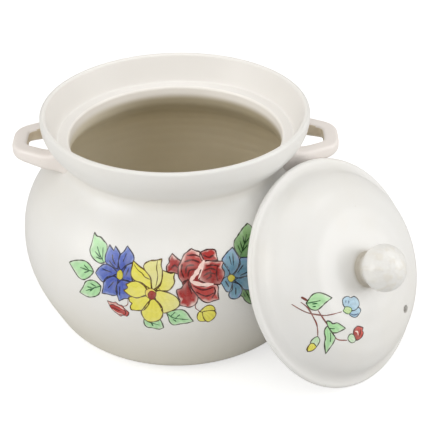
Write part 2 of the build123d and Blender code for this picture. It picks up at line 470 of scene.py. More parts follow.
def bend_strap(name):
    """Extrude the strap's section along its loop, then smooth the slip round its roots."""
    tip_x = strap_reach - strap_width / 2
    corners = [(arm_start, -arm_half), (bend_at, -arm_half), (tip_x, -tip_half),
               (tip_x, tip_half), (bend_at, arm_half), (arm_start, arm_half)]
    path = rounded_path(corners, [root_bend, tip_bend, tip_bend, root_bend], steps=8)
    fine = [path[0]]
    for here, there in zip(path, path[1:]):
        pieces = max(1, round((there - here).length / strap_step))
        fine += [here.lerp(there, step / pieces) for step in range(1, pieces + 1)]
    middle_height = strap_top - strap_tip_depth / 2
    bpy.ops.object.select_all(action="DESELECT")
    start = (*fine[0], middle_height)
    bpy.ops.mesh.primitive_plane_add(
        size=strap_width, location=start, rotation=(0, radians(90), 0))
    bpy.ops.object.transform_apply(location=True, rotation=True, scale=True)
    strap = bpy.context.object
    strap.name = name
    bpy.ops.object.mode_set(mode="EDIT")
    bpy.ops.mesh.select_all(action="SELECT")
    bpy.ops.transform.resize(
        value=(1, 1, strap_tip_depth / strap_width), center_override=start)
    underside = middle_height - strap_tip_depth / 2 + 0.1 * mm
    round_arrises(strap, lambda height: height > middle_height, top_arris, segments=4)
    round_arrises(strap, lambda height: height < underside, under_arris, segments=5)
    bpy.ops.mesh.select_all(action="SELECT")
    bpy.ops.object.mode_set(mode="OBJECT")
    section = len(strap.data.vertices)
    bpy.ops.object.mode_set(mode="EDIT")
    for here, there in zip(fine, fine[1:]):
        move = (there.x - here.x, there.y - here.y, 0)
        bpy.ops.mesh.extrude_region_move(TRANSFORM_OT_translate={"value": move})
    bpy.ops.object.mode_set(mode="OBJECT")
    # each section is turned square to the loop, deepened towards the roots, and its slip
    # spread where it meets the wall
    stations = []
    for number, here in enumerate(fine):
        before = fine[max(number - 1, 0)]
        after = fine[min(number + 1, len(fine) - 1)]
        ahead = (after - before).normalized()
        stations.append((here, Vector((-ahead.y, ahead.x))))
    for point in strap.data.vertices:
        here, aside = stations[point.index // section]
        across = point.co.y - here.y
        drop = strap_top - point.co.z
        share = min(1, max(0, (strap_reach - here.x) / (strap_reach - neck[0])))
        depth = strap_tip_depth + (strap_root_depth - strap_tip_depth) * share
        drop *= depth / strap_tip_depth
        place = here + aside * across
        height = strap_top - drop
        off_wall = place.length - wall_radius(height)
        spread = luting * exp(-max(off_wall, 0) / luting_run)
        from_core = Vector((across, height - middle_height))
        outward = from_core.normalized() * spread
        place = here + aside * (across + outward.x)
        buried = wall_radius(height) - wall / 2
        if place.length < buried:
            place = place.normalized() * buried
        point.co = (place.x, place.y, height + outward.y)
    bpy.ops.object.mode_set(mode="EDIT")
    bpy.ops.mesh.select_all(action="SELECT")
    bpy.ops.mesh.normals_make_consistent(inside=False)
    bpy.ops.object.mode_set(mode="OBJECT")
    return strap


right_handle = bend_strap("strap_handle_right")
handle_white = (0.840, 0.790, 0.760, 1)
handle_cream = (0.760, 0.690, 0.620, 1)
loop_wall_tan = (0.60, 0.50, 0.36, 1)
loop_wall_cream = (0.70, 0.61, 0.47, 1)
loop_wall_finish = Finish("thin_glaze_inside_handles")
loop_wall_cloud = loop_wall_finish.noise(scale=60.0)
loop_wall_finish.look("Base Color", loop_wall_finish.blend(loop_wall_cloud.fade(0.3, 0.7), loop_wall_tan, loop_wall_cream))
loop_wall_finish.look("Roughness", loop_wall_cloud * 0.15 + 0.3)
handle_glaze = white_glaze("off_white_glaze_handles", False, handle_white, handle_cream)
right_handle.data.materials.append(handle_glaze)
right_handle.data.materials.append(loop_wall_finish.material)
for face in right_handle.data.polygons:
    ahead = face.center - loop_middle
    ahead.z = 0
    if abs(face.normal.z) < steepest_top and face.normal.dot(ahead.normalized()) < facing_loop:
        face.material_index = 1
pick(right_handle)
bpy.ops.object.duplicate()
left_handle = bpy.context.object
left_handle.name = "strap_handle_left"
bpy.ops.object.mode_set(mode="EDIT")
bpy.ops.mesh.select_all(action="SELECT")
bpy.ops.transform.resize(value=(-1, 1, 1), center_override=(0, 0, 0))
bpy.ops.mesh.normals_make_consistent(inside=False)
bpy.ops.object.mode_set(mode="OBJECT")
for handle, node in ((right_handle, "handle_right"), (left_handle, "handle_left")):
    pick(handle)
    smoothing = handle.modifiers.new("smooth", "SUBSURF")
    smoothing.levels = smoothing.render_levels = 1
    bpy.ops.object.modifier_apply(modifier=smoothing.name)
    bpy.ops.object.shade_smooth()
    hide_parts(node)
    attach(handle, "pot")

# Lid
# A thrown dome with a flat flange that seats on the gallery, glazed all over, with one steam
# hole. It stands on its edge and leans back towards the right handle.
lid_radius = 92.8 * mm
flange_thickness = 5 * mm
dome_foot = (82 * mm, 12 * mm)
flange_start = (90.3 * mm, 5 * mm)
lid_rise = 38.5 * mm
lid_wall = 5.5 * mm
hollow_mouth = 77.5 * mm
mouth_round = 1.2 * mm
dome_way = (0.4, -1)
dome_pulls = (0.9, 1.1)
groove_pulls = (0.9, 1.3)
hollow_way = (0.2, -1)
hollow_pulls = (0.75, 1.2)
dome_wave = 0.24 * mm
dome_wave_step = 15.2 * mm
steam_hole_radius = 3.3 * mm
steam_hole_offset = 57 * mm
steam_hole_angle = radians(-58)
punch_taper = 0.1
punch_above_middle = 8 * mm
stand_distance = 147.6 * mm
stand_height = 80.82 * mm
lean = radians(28.3)
facing = radians(-44)
bearing = radians(-31.1)
# the lid's white is darker than the pot's: painted shade on the same glaze
lid_painted_shade_white = (0.785, 0.780, 0.765, 1)
painted_shadow_round_knob = (11 * mm, 18.5 * mm)
painted_shade_share = 0.8

crown = (0, lid_rise)
inner_crown = (0, lid_rise - lid_wall)
dome = [crown, *sweep_line(crown, dome_foot, flat, dome_way, *dome_pulls, steps=44)]
dome = [
    (out, height + dome_wave * out / lid_radius * sin(2 * pi * out / dome_wave_step))
    for out, height in dome
]
dome += sweep_line(dome[-1], flange_start, dome_way, flat, *groove_pulls, steps=12)
edge_middle = (lid_radius - flange_thickness / 2, flange_thickness / 2)
hollow_foot = (hollow_mouth, 0)
hollow = sweep_line(inner_crown, hollow_foot, flat, hollow_way, *hollow_pulls, steps=36)
hollow = [point for point in hollow if point[1] > 1.5 * mouth_round]
mouth_middle = (hollow_mouth + mouth_round, mouth_round)
lid_outline = [*dome, *roll(edge_middle, flange_thickness / 2, 90, -90, steps=12)]
lid_outline += roll(mouth_middle, mouth_round, -90, -180, steps=5)
lid_outline += [*reversed(hollow), inner_crown]
lid = throw("domed_lid", lid_outline)


def press_hole(piece):
    """Cut the steam hole with a tapered punch, as it is pushed through the soft clay."""
    spot = (
        steam_hole_offset * cos(steam_hole_angle),
        steam_hole_offset * sin(steam_hole_angle),
        lid_rise / 2 + punch_above_middle,
    )
    bpy.ops.object.select_all(action="DESELECT")
    bpy.ops.mesh.primitive_cone_add(
        vertices=48, radius1=steam_hole_radius * (1 - punch_taper),
        radius2=steam_hole_radius * (1 + punch_taper), depth=lid_rise, location=spot)
    punch = bpy.context.object
    bpy.ops.object.transform_apply(location=True, rotation=True, scale=True)
    pick(piece)
    cut = piece.modifiers.new("steam hole", "BOOLEAN")
    cut.object = punch
    cut.operation = "DIFFERENCE"
    cut.solver = "EXACT"
    bpy.ops.object.modifier_apply(modifier=cut.name)
    bpy.data.objects.remove(punch)


press_hole(lid)

normal = Vector((cos(lean) * cos(facing), cos(lean) * sin(facing), sin(lean)))
level = Vector((-sin(facing), cos(facing), 0))
rise = normal.cross(level)
centre = Vector((cos(bearing) * stand_distance, sin(bearing) * stand_distance, stand_height))
stance = Matrix.Translation(centre) @ Matrix((level, rise, normal)).transposed().to_4x4()


def keep_wheel_place(piece):
    """Keep each point's place on the wheel for the glaze, then stand the piece up."""
    places = piece.data.attributes.new("wheel", "FLOAT_VECTOR", "POINT")
    for point in piece.data.vertices:
        places.data[point.index].vector = point.co
    piece.data.transform(stance)


keep_wheel_place(lid)
pick(lid)
bpy.ops.object.shade_smooth_by_angle(angle=sharp_edge)
# painted shadow of the knob, darker round its foot on the crown
lid_glaze = white_glaze(
    "off_white_glaze_lid", False, lid_painted_shade_white, wheel=True,
    shaded=lambda glaze: (1 - glaze.out().fade(*painted_shadow_round_knob)) * painted_shade_share)
lid.data.materials.append(lid_glaze)
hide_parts("lid")
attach(lid, "lid")

# Knob
# A flattened ball on a short neck, thrown by itself and luted to the crown of the lid; the
# slip round its foot is drawn into a small cove.
ball_radius = 18.8 * mm
ball_half = 16.5 * mm
ball_middle = 56.8 * mm
neck_radius = 12.5 * mm
cove = 2.4 * mm
root_height = lid_rise - 2 * mm
ball_steps = 28
neck_turn = -degrees(acos(neck_radius / ball_radius))
cove_middle = (neck_radius + cove, lid_rise + cove)
painted_shade_on_neck = (40 * mm, 47 * mm)

knob_outline = [(0, ball_middle + ball_half)]
for step in range(1, ball_steps + 1):
    turn = radians(90 + (neck_turn - 90) * step / ball_steps)
    knob_outline.append((ball_radius * cos(turn), ball_middle + ball_half * sin(turn)))
knob_outline += roll(cove_middle, cove, 180, 262, steps=6)
knob_outline += [(neck_radius + cove, root_height), (0, root_height)]
knob = throw("ball_knob", knob_outline)
keep_wheel_place(knob)
# painted shade on the knob's neck
knob_glaze = white_glaze(
    "off_white_glaze_knob", False, wheel=True, scraped=True,
    shaded=lambda glaze: (1 - glaze.axis("Z").fade(*painted_shade_on_neck)) * painted_shade_share)
knob.data.materials.append(knob_glaze)
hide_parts("lid_knob")
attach(knob, "lid")

# Painted garland on the belly
# Overglaze enamels brushed on by hand: filled petals and leaves with dark outlines and veins,
# each stroke a thin film on the wall. Spots are millimetres to the right of the front line and
# millimetres of height, and a third value marks a sharp corner.
film = 0.09 * mm
layer_step = 0.03 * mm
film_depth = 0.35 * mm
film_weld = 0.002 * mm
film_edge = radians(40)
drawing_radius = 128 * mm
outline_lift = 0.6
fine_line = 0.7
press_mean = 0.85
press_sway = 0.2
end_press = 0.45
end_swell = 0.65
pale_run = 0.8
rim_start = 0.72
rim_width = 0.26
bare_glaze = (0.78, 0.76, 0.70, 1)


def on_belly(across, height, lift):
    """The place on the pot's wall of a spot of the drawing."""
    turn = across * mm / drawing_radius
    z = height * mm
    slope = (wall_radius(z + mm) - wall_radius(z - mm)) / (2 * mm)
    out = wall_radius(z) + lift / hypot(1, slope)
    return Vector((out * sin(turn), -out * cos(turn), z - lift * slope / hypot(1, slope)))


def shade_of(red, green, blue):
    """A colour as it is seen, from 0 to 255, as the light that it sends back."""
    return Vector([(value / 255) ** 2.2 for value in (red, green, blue)])


def smooth_line(spots, closed, steps=5):
    """Points of a line drawn through the spots in one sweep from corner to corner."""
    line = []
    count = len(spots)
    for number in range(count if closed else count - 1):
        here = Vector(spots[number][:2])
        there = Vector(spots[(number + 1) % count][:2])
        before = Vector(spots[number - 1][:2])
        after = Vector(spots[(number + 2) % count][:2])
        if len(spots[number]) == 3 or not (closed or number):
            before = here
        if len(spots[(number + 1) % count]) == 3 or not (closed or number < count - 2):
            after = there
        leave = (there - before) / 2
        arrive = (after - here) / 2
        for step in range(steps):
            at_start, leaving, at_end, arriving = line_weights(step / steps)
            line.append(here * at_start + leave * leaving + there * at_end + arrive * arriving)
    if not closed:
        line.append(Vector(spots[-1][:2]))
    return line


def lay_film(name, columns, rows, spot, shade, surface, layer):
    """A grid of enamel: each of its points gets a place and a shade of the drawing."""
    bpy.ops.object.select_all(action="DESELECT")
    bpy.ops.mesh.primitive_grid_add(x_subdivisions=columns, y_subdivisions=rows, size=2)
    sheet = bpy.context.object
    sheet.name = name
    shades = []
    for point in sheet.data.vertices:
        column = round((point.co.x + 1) / 2 * columns)
        row = (point.co.y + 1) / 2
        place = spot(column, row)
        shades.append((*shade(place, row, column / columns), 1))
        point.co = surface(place.x, place.y, film + layer * layer_step)
    colours = sheet.data.color_attributes.new("enamel", "FLOAT_COLOR", "CORNER")
    for corner in sheet.data.loops:
        colours.data[corner.index].color = shades[corner.vertex_index]
    return sheet


def brush_line(spots, width, colour, layer, surface=on_belly, closed=False):
    """A brush line through the spots: thin at its ends, and paler where the colour ran out."""
    line = smooth_line(spots, closed)
    if closed:
        line.append(line[0])
    last = len(line) - 1

    def spot(column, row):
        here = line[column]
        ahead = line[min(column + 1, last)] - line[max(column - 1, 0)]
        if closed and column in (0, last):
            ahead = line[1] - line[last - 1]
        ahead.normalize()
        # the hand presses unevenly, and lifts at both ends of an open line
        press = press_mean + press_sway * sin(0.9 * here.x + 0.7 * here.y)
        if not closed:
            press *= end_press + end_swell * sin(pi * column / last) ** 0.5
        aside = Vector((-ahead.y, ahead.x)) * (row - 0.5)
        return here + aside * width * press

    def shade(place, row, column):
        thinner = max(0, sin(0.8 * place.x + 1.1 * place.y)) ** 2
        return colour * (1 + pale_run * thinner * (1 - max(colour)))

    return lay_film("line", last, 2, spot, shade, surface, layer)


def petal(
        spots, inner, outer, line_colour, layer, surface=on_belly, rim=None, line=0.9,
        streaks=11, streak=0.11):
    """One petal or leaf: its fill, streaked from the first spot outwards, and its outline."""
    edge = smooth_line(spots, True)
    turning = sum(here.cross(there) for here, there in zip(edge, edge[1:]))
    if turning > 0:
        edge = [edge[0], *reversed(edge[1:])]
    middle = sum(edge, Vector((0, 0))) / len(edge)
    root = edge[0]
    reach = max((place - root).length for place in edge)

    def spot(column, row):
        return middle.lerp(edge[column % len(edge)], row)

    def shade(place, row, column):
        way = place - root
        share = min(1, way.length / reach)
        tone = inner.lerp(outer, share)
        fan = sin(streaks * atan2(way.y, way.x) + 0.8 * place.x)
        tone = tone * (1 + streak * fan * (1 - 0.5 * share))
        if rim is not None:
            # the rim's inner edge is ragged, as a dry brush leaves it
            ragged = 0.10 * sin(21 * column) + 0.07 * sin(47 * column + 1)
            pale = min(1, max(0, (row - rim_start + ragged) / rim_width))
            tone = tone.lerp(rim, pale * share)
        return tone

    fill = lay_film("fill", len(edge), 7, spot, shade, surface, layer)
    outline = brush_line(spots, line, line_colour, layer + outline_lift, surface, closed=True)
    return [fill, outline]


def gather(name, strokes, body):
    """Join the strokes of one flower, close their seams and give the films a thickness."""
    bpy.ops.object.select_all(action="DESELECT")
    for stroke in strokes:
        stroke.select_set(True)
    bpy.context.view_layer.objects.active = strokes[0]
    bpy.ops.object.join()
    flower = bpy.context.object
    flower.name = name
    bpy.ops.object.mode_set(mode="EDIT")
    bpy.ops.mesh.select_all(action="SELECT")
    bpy.ops.mesh.remove_doubles(threshold=film_weld)
    bpy.ops.object.mode_set(mode="OBJECT")
    depth = flower.modifiers.new("film depth", "SOLIDIFY")
    depth.thickness = film_depth
    depth.offset = -1
    bpy.ops.object.modifier_apply(modifier=depth.name)
    bpy.ops.object.shade_smooth_by_angle(angle=film_edge)
    flower.data.materials.append(enamel.material)
    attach(flower, body)


enamel = Finish("overglaze_enamels")
enamel_tone = enamel.node("ShaderNodeVertexColor", {"layer_name": "enamel"}, {}, "Color")
thin = enamel.noise(scale=130.0)
enamel.look(
    "Base Color", enamel.blend(thin.fade(0.40, 0.85) * 0.18, enamel_tone, bare_glaze))
enamel.look("Roughness", thin * 0.15 + 0.20)

# The three pale leaves at the left, and the two below
pale_green = shade_of(158, 212, 150)
mint = shade_of(180, 221, 172)
leaf_rim = shade_of(214, 228, 205)
leaf_line = shade_of(58, 62, 46)
vein_green = shade_of(34, 84, 46)


def pale_leaf(spots, veins, surface=on_belly, layer=0):
    """A pale leaf with its veins."""
    strokes = petal(
        spots, pale_green, mint, leaf_line, layer, surface, rim=leaf_rim, line=1.0)
    for vein in veins:
        strokes.append(brush_line(vein, 1.0, vein_green, layer + 0.4, surface))
    return strokes


leaves = []
for spots, veins in (
    ([(-57.5, 116.5, 1), (-61.5, 115), (-66.5, 116), (-71, 118.5), (-73.5, 122), (-73.5, 126),
      (-74.5, 133, 1), (-71, 131.5), (-67, 131.5), (-63, 130), (-59, 128), (-57.5, 123)],
     [[(-58.5, 116.5), (-63, 120.5), (-67.5, 125.5)], [(-60, 117.5), (-60.5, 121), (-62, 126)],
      [(-62.5, 119), (-68.5, 122)], [(-61, 118), (-66.5, 118.5)]]),
    ([(-66.5, 107.5, 1), (-67.5, 105), (-71, 101), (-75.5, 98), (-80, 98.5), (-84, 101.5),
      (-91, 107, 1), (-87.5, 109.5), (-81.5, 112), (-76, 113), (-71.5, 112), (-68, 109.5)],
     [[(-67, 107.5), (-72.5, 107), (-79.5, 107)], [(-71, 107.5), (-76, 110)],
      [(-70, 107), (-75, 104)]]),
    ([(-59, 97.5, 1), (-59.5, 93), (-61.5, 89), (-66.5, 85.5), (-72, 84), (-79, 85.5, 1),
      (-75.5, 91.5), (-73, 97), (-68, 100), (-63.5, 100)],
     [[(-59, 97.5), (-64.5, 94.5), (-73, 89)], [(-63.5, 96), (-68.5, 97)],
      [(-65, 94), (-69, 90)], [(-67, 94), (-71.5, 93)]]),
    ([(-18, 78), (-23.5, 75.5), (-24.5, 70), (-22.5, 66), (-18, 65.5), (-13, 64.5),
      (-9.5, 66.5, 1), (-10.5, 71.5), (-12.5, 75.5)],
     [[(-22, 72), (-17.5, 70.5), (-12.5, 69)], [(-19.5, 72.5), (-17.5, 67.5)]]),
    ([(-7, 82.5, 1), (-5.5, 77.5), (-4.5, 72.5), (-1.5, 69.5), (3.5, 70.5), (8.5, 71),
      (13.5, 72.5, 1), (11, 77), (9, 81), (6, 84), (1.5, 84.5), (-3, 83.5)],
     [[(-7, 82), (-2, 77), (4, 75.5), (10, 74.5)], [(-3.5, 78.5), (0, 82.5)],
      [(-0.5, 76), (3.5, 80)], [(-2, 75.5), (0.5, 73)]]),
):
    leaves += pale_leaf(spots, veins)
gather("garland_pale_leaves", leaves, "pot")

# The blue flower: six pointed petals round a yellow heart
blue = shade_of(62, 78, 166)
light_blue = shade_of(96, 116, 190)
blue_rim = shade_of(150, 164, 208)
blue_line = shade_of(34, 34, 62)
golden = shade_of(205, 192, 62)
blue_petals = petal(
    [(-47, 116), (-42, 118), (-37.5, 114), (-37.5, 107), (-41, 102), (-46.5, 103), (-49, 109)],
    blue, blue, blue_line, 0, line=fine_line)
for spots in (
    [(-45.5, 114, 1), (-50, 114.5), (-55.5, 116), (-57.5, 118), (-58, 122), (-56.5, 128.5, 1),
     (-54, 127), (-51.5, 125.5, 1), (-51, 128.5, 1), (-48, 126.5), (-45.5, 124), (-46, 119)],
    [(-43, 113, 1), (-45, 116), (-46, 120), (-45.5, 123.5), (-42.5, 126.5), (-40.5, 130, 1),
     (-37.5, 128), (-34, 125), (-33, 121.5), (-35, 119.5), (-38.5, 118), (-41, 115.5)],
    [(-45, 111, 1), (-49.5, 114), (-54, 115.5), (-58, 115), (-62, 111.5), (-64.5, 107, 1),
     (-61, 103.5), (-57, 101.5), (-54, 105), (-50, 107.5)],
    [(-41, 107, 1), (-41, 111.5), (-39, 116.5), (-37, 118.5), (-34, 119.5), (-33.5, 115),
     (-34, 110.5), (-32.5, 106.5, 1), (-36.5, 106)],
    [(-44.5, 106.5, 1), (-48, 108), (-53.5, 106.5), (-56.5, 102.5), (-57, 97),
     (-58, 91.5, 1), (-53.5, 92), (-48.5, 92), (-45, 94), (-45.5, 100)],
    [(-42.5, 106, 1), (-45.5, 101.5), (-46, 96.5), (-44.5, 91.5), (-43.5, 88, 1),
     (-39.5, 91), (-34, 92.5), (-34, 98), (-34, 102), (-35.5, 106.5)],
):
    blue_petals += petal(
        spots, blue, light_blue, blue_line, 1, rim=blue_rim, line=1.0)
for spots in (
    [(-52, 123), (-51, 120), (-48, 116.5)], [(-54, 118.5), (-51.5, 116.5), (-48.5, 115)],
    [(-40, 125.5), (-42, 119.5)], [(-59, 111.5), (-50.5, 110.5)], [(-53, 97), (-48, 104)],
    [(-43, 93), (-43, 101)], [(-36.5, 116), (-38.5, 110)],
):
    blue_petals.append(brush_line(spots, 1.0, blue_line, 1.4))
blue_petals += petal(
    [(-43.5, 113.5), (-41.5, 112), (-41, 108.5), (-43, 106.5), (-45.5, 108), (-45.5, 111.5)],
    golden, golden, leaf_line, 2, line=fine_line)
gather("blue_flower", blue_petals, "pot")

# The yellow flower: seven broad petals, the upper two folded, round a red heart
yellow = shade_of(226, 217, 82)
lemon = shade_of(231, 223, 102)
pale_lemon = shade_of(224, 219, 142)
olive_line = shade_of(82, 62, 20)
yellow_petals = petal(
    [(-22, 103), (-14, 104), (-10, 99), (-12, 90), (-19, 88), (-25, 95)],
    yellow, yellow, olive_line, 2.6, line=fine_line)
for spots, inner, outer, layer in (
    ([(-14.5, 101.5, 1), (-11, 105.5), (-9.5, 111), (-10, 116), (-6, 115.5), (-2.5, 114.5),
      (0.5, 115, 1), (-0.5, 111.5), (0, 108.5), (-1, 105.5), (-4.5, 101.5), (-9, 101)],
     yellow, pale_lemon, 3),
    ([(-18, 102, 1), (-22, 104), (-26, 106.5), (-31, 107.5), (-34, 110.5), (-34.5, 114),
      (-34, 117.5), (-33.5, 121.5, 1), (-28.5, 118.5), (-23, 115.5), (-19, 111), (-18, 106.5)],
     lemon, yellow, 4),
    ([(-17, 101, 1), (-18, 106), (-18.5, 111), (-22.5, 115), (-24.5, 118), (-23.5, 120.5),
      (-19.5, 122.5), (-15.5, 123), (-10, 124, 1), (-10.5, 120), (-9.5, 116.5),
      (-9.5, 111.5), (-11, 106.5), (-14.5, 103)],
     pale_lemon, pale_lemon, 4.4),
    ([(-15.5, 99, 1), (-13, 101), (-8, 100.5), (-3.5, 99), (1, 96), (3, 92.5), (3.5, 89),
      (0.5, 85.5), (-3, 83.5), (-8, 81.5), (-10, 83), (-11.5, 88.5), (-14.5, 93)],
     lemon, pale_lemon, 5),
    ([(-16.5, 94.5, 1), (-13, 91.5), (-10.5, 88), (-9.5, 83), (-10, 78.5), (-12.5, 74.5),
      (-16.5, 72.5), (-20.5, 72), (-23.5, 74), (-25.5, 78), (-26, 82), (-24, 85),
      (-20.5, 90.5)],
     yellow, lemon, 5.6),
    ([(-19, 93.5, 1), (-20, 89), (-22.5, 85), (-24.5, 83), (-29.5, 82), (-34, 82, 1),
      (-34.5, 85), (-33, 88, 1), (-35, 89.5, 1), (-35.5, 93), (-31.5, 94), (-26.5, 94.5),
      (-22, 96)],
     lemon, yellow, 5.2),
    ([(-20, 97.5, 1), (-22, 102.5), (-25, 105.5), (-29, 107), (-33, 106.5), (-38, 103.5, 1),
      (-36.5, 101), (-39.5, 98.5, 1), (-37.5, 96.5), (-34, 94.5), (-29, 93.5), (-24.5, 95.5)],
     lemon, yellow, 6),
):
    yellow_petals += petal(
        spots, inner, outer, olive_line, layer, line=1.05, streak=0.04)
for spots in (
    [(-32.5, 119), (-29, 115.5), (-25.5, 113.5), (-23, 111), (-19, 109.5)],
    [(-13.5, 123), (-14, 118), (-13, 113), (-13.5, 108.5), (-14.5, 104)],
):
    yellow_petals.append(brush_line(spots, 0.8, olive_line, 5))
yellow_petals += petal(
    [(-20.5, 102), (-17.5, 102.5), (-14.5, 100.5), (-14.5, 96.5), (-16.5, 93.5), (-19.5, 94),
     (-22, 96.5), (-22.5, 100)],
    shade_of(228, 196, 96), lemon, olive_line, 7, line=fine_line)
yellow_petals += petal(
    [(-18, 100.5), (-15, 99.5), (-14.5, 96.5), (-17, 93.5), (-19.5, 94.5), (-20.5, 97.5)],
    shade_of(168, 66, 54), shade_of(138, 30, 28), shade_of(112, 34, 24), 8, line=fine_line)
gather("yellow_flower", yellow_petals, "pot")

# The red rose: cupped petals with pale, ragged rims and dark streaks
deep_red = shade_of(138, 24, 22)
rose_red = shade_of(168, 48, 44)
soft_red = shade_of(184, 74, 68)
rose_rim = shade_of(236, 206, 196)
rose_line = shade_of(62, 26, 26)
rose_streak = shade_of(78, 10, 12)
rose_petals = petal(
    [(6, 112), (17, 119), (30, 116), (33, 107), (27, 98), (14, 96), (8, 101)],
    deep_red, deep_red, rose_line, 2, line=fine_line)
for spots, inner, outer, layer in (
    ([(4.5, 113, 1), (4.5, 118), (6, 122), (2.5, 124.5), (-1.5, 127.5, 1), (-4, 124.5),
      (-4, 122), (-6, 119.5), (-6, 116.5), (-5, 115, 1), (-0.5, 115)],
     deep_red, rose_red, 3),
    ([(23, 121.5, 1), (21.5, 123.5), (21.5, 126.5), (24.5, 128), (29.5, 128.5), (34.5, 127.5),
      (35, 124), (35.5, 121, 1), (30.5, 121)],
     rose_red, rose_red, 3.4),
    ([(12, 108.5, 1), (9, 109), (6, 107.5, 1), (3.5, 111), (3, 115.5), (3.5, 119.5),
      (5.5, 122.5), (8, 126.5), (11.5, 128.5), (14.5, 130, 1), (18.5, 128.5), (21.5, 127.5),
      (23, 124.5), (24, 121), (20.5, 116.5), (17, 112.5)],
     deep_red, soft_red, 4),
    ([(12, 108.5, 1), (13, 102.5), (15.5, 97.5), (18.5, 94), (21, 91), (25, 89), (29, 90),
      (33.5, 90.5, 1), (33, 96), (33.5, 101), (32, 103.5), (28, 104), (24, 103),
      (18.5, 104.5)],
     rose_red, soft_red, 4.2),
    ([(10.5, 110, 1), (7, 106), (5, 103), (1.5, 101.5), (2.5, 96), (4, 92.5), (3.5, 89),
      (7.5, 87.5), (10.5, 86.5), (14.5, 88), (16.5, 90.5), (17.5, 95), (15.5, 98.5),
      (13, 102.5), (12, 106.5)],
     deep_red, rose_red, 5),
    ([(29, 104, 1), (24, 105.5), (19, 108.5, 1), (20, 113.5), (22, 117.5), (24, 121),
      (27.5, 121.5), (32, 120.5), (36.5, 120), (39.5, 119), (38, 115.5), (39.5, 112),
      (38.5, 108), (35, 103, 1)],
     deep_red, rose_red, 5.4),
):
    rose_petals += petal(
        spots, inner, outer, rose_line, layer, rim=rose_rim, line=1.0, streaks=15)
for spots, width in (
    ([(24.5, 122), (19.5, 116.5), (16, 112.5), (12, 108.5)], 3.2),
    ([(12, 108.5), (17, 106), (23, 104.5), (30, 104)], 3.0),
    ([(23.5, 119.5), (21, 114), (18.5, 109.5)], 1.2),
):
    rose_petals.append(brush_line(spots, width, rose_rim, 7))
for spots in (
    [(10.5, 126), (17, 126), (21, 124.5)], [(8, 122), (14.5, 123), (20.5, 121)],
    [(9, 114), (10, 119), (16, 119.5)], [(10.5, 111.5), (12, 116), (17, 116.5)],
    [(6.5, 120.5), (5.5, 116), (7.5, 111)], [(24, 125.5), (28.5, 123.5), (32.5, 124.5)],
    [(25.5, 118), (31, 118), (36, 116.5)], [(23.5, 115), (29, 116), (33, 114)],
    [(22.5, 111), (27, 113), (32, 111.5)], [(34.5, 117), (33, 111.5), (33.5, 106)],
    [(24.5, 108.5), (28.5, 110.5), (28, 115)], [(10.5, 108), (11.5, 103), (13, 98)],
    [(14, 104.5), (21.5, 100.5), (29.5, 101.5)], [(16, 99.5), (23.5, 95), (30, 97)],
    [(30, 102), (31, 97.5), (28, 92.5)], [(-2.5, 118), (0.5, 120), (3, 118)],
):
    rose_petals.append(brush_line(spots, 1.3, rose_streak, 6.4))
gather("red_rose", rose_petals, "pot")

# The dark leaves and the pale-blue flower that the lid half hides
dark_green = shade_of(92, 140, 78)
moss = shade_of(146, 184, 126)
moss_rim = shade_of(168, 196, 158)
dark_vein = shade_of(24, 56, 22)
right_leaves = petal(
    [(54.5, 119.5, 1), (52, 124), (51.5, 127.5), (53, 130.5), (56.5, 132.5), (60.5, 134.5),
     (65, 136.5), (70.5, 138, 1), (73, 136), (73.5, 131), (71.5, 125.5), (67.5, 120.5),
     (60.5, 118.5)],
    dark_green, moss, leaf_line, 1, rim=moss_rim, streaks=19)
right_leaves += petal(
    [(51.5, 97, 1), (50.5, 91), (53, 88), (54.5, 84.5), (58, 80.5), (61.5, 78.5, 1),
     (61.5, 88), (58.5, 95)],
    dark_green, moss, leaf_line, 1, rim=moss_rim, streaks=19)
for spots in (
    [(55, 120.5), (59, 125), (66, 132.5)], [(56, 122), (55, 127.5)], [(58, 124.5), (58, 130)],
    [(57.5, 123), (63.5, 126)], [(61, 127), (67, 130)], [(61, 127.5), (62, 132)],
    [(54.5, 94.5), (57.5, 87.5), (60, 80)], [(57, 95), (59.5, 88)], [(53.5, 92), (55, 87)],
):
    right_leaves.append(brush_line(spots, 0.95, dark_vein, 1.5))
gather("garland_dark_leaves", right_leaves, "pot")

teal = shade_of(76, 120, 146)
light_teal = shade_of(134, 176, 196)
teal_line = shade_of(36, 46, 56)
teal_petals = petal(
    [(41, 112), (46, 114), (51, 110), (50, 102), (45, 99.5), (40.5, 103)],
    teal, teal, teal_line, 1, line=fine_line)
for spots, layer in (
    ([(46, 107.5, 1), (50, 111), (53.5, 115), (54.5, 119), (60.5, 118), (66, 115),
      (66.5, 108.5), (62, 105), (57, 105), (51.5, 104.5)], 1.8),
    ([(46.5, 104, 1), (51, 105), (57.5, 104.5), (63.5, 101.5), (64, 96), (59, 93),
      (54, 94.5), (52, 98), (49.5, 101)], 2.2),
    ([(43, 108, 1), (43.5, 112.5), (41.5, 116.5), (38.5, 120), (38, 115.5), (39, 112),
      (37, 107), (39.5, 107)], 2),
    ([(44.5, 108.5, 1), (43.5, 111), (42, 114), (40, 117.5), (39, 120.5), (41, 122.5),
      (45, 125), (50, 127, 1), (53, 120.5), (53, 116.5), (51, 113), (48, 110)], 2.6),
    ([(45, 103, 1), (48, 101.5), (51, 99), (52.5, 94.5), (50.5, 89.5), (47, 88),
      (43, 89.5), (41.5, 92.5), (42.5, 96), (44, 99)], 2.6),
    ([(44, 105.5, 1), (42, 108), (39, 107.5), (35.5, 105.5), (36.5, 103), (38, 99.5),
      (40, 96), (43.5, 95.5), (45, 99.5)], 3),
):
    teal_petals += petal(
        spots, teal, light_teal, teal_line, layer, rim=blue_rim, line=0.95)
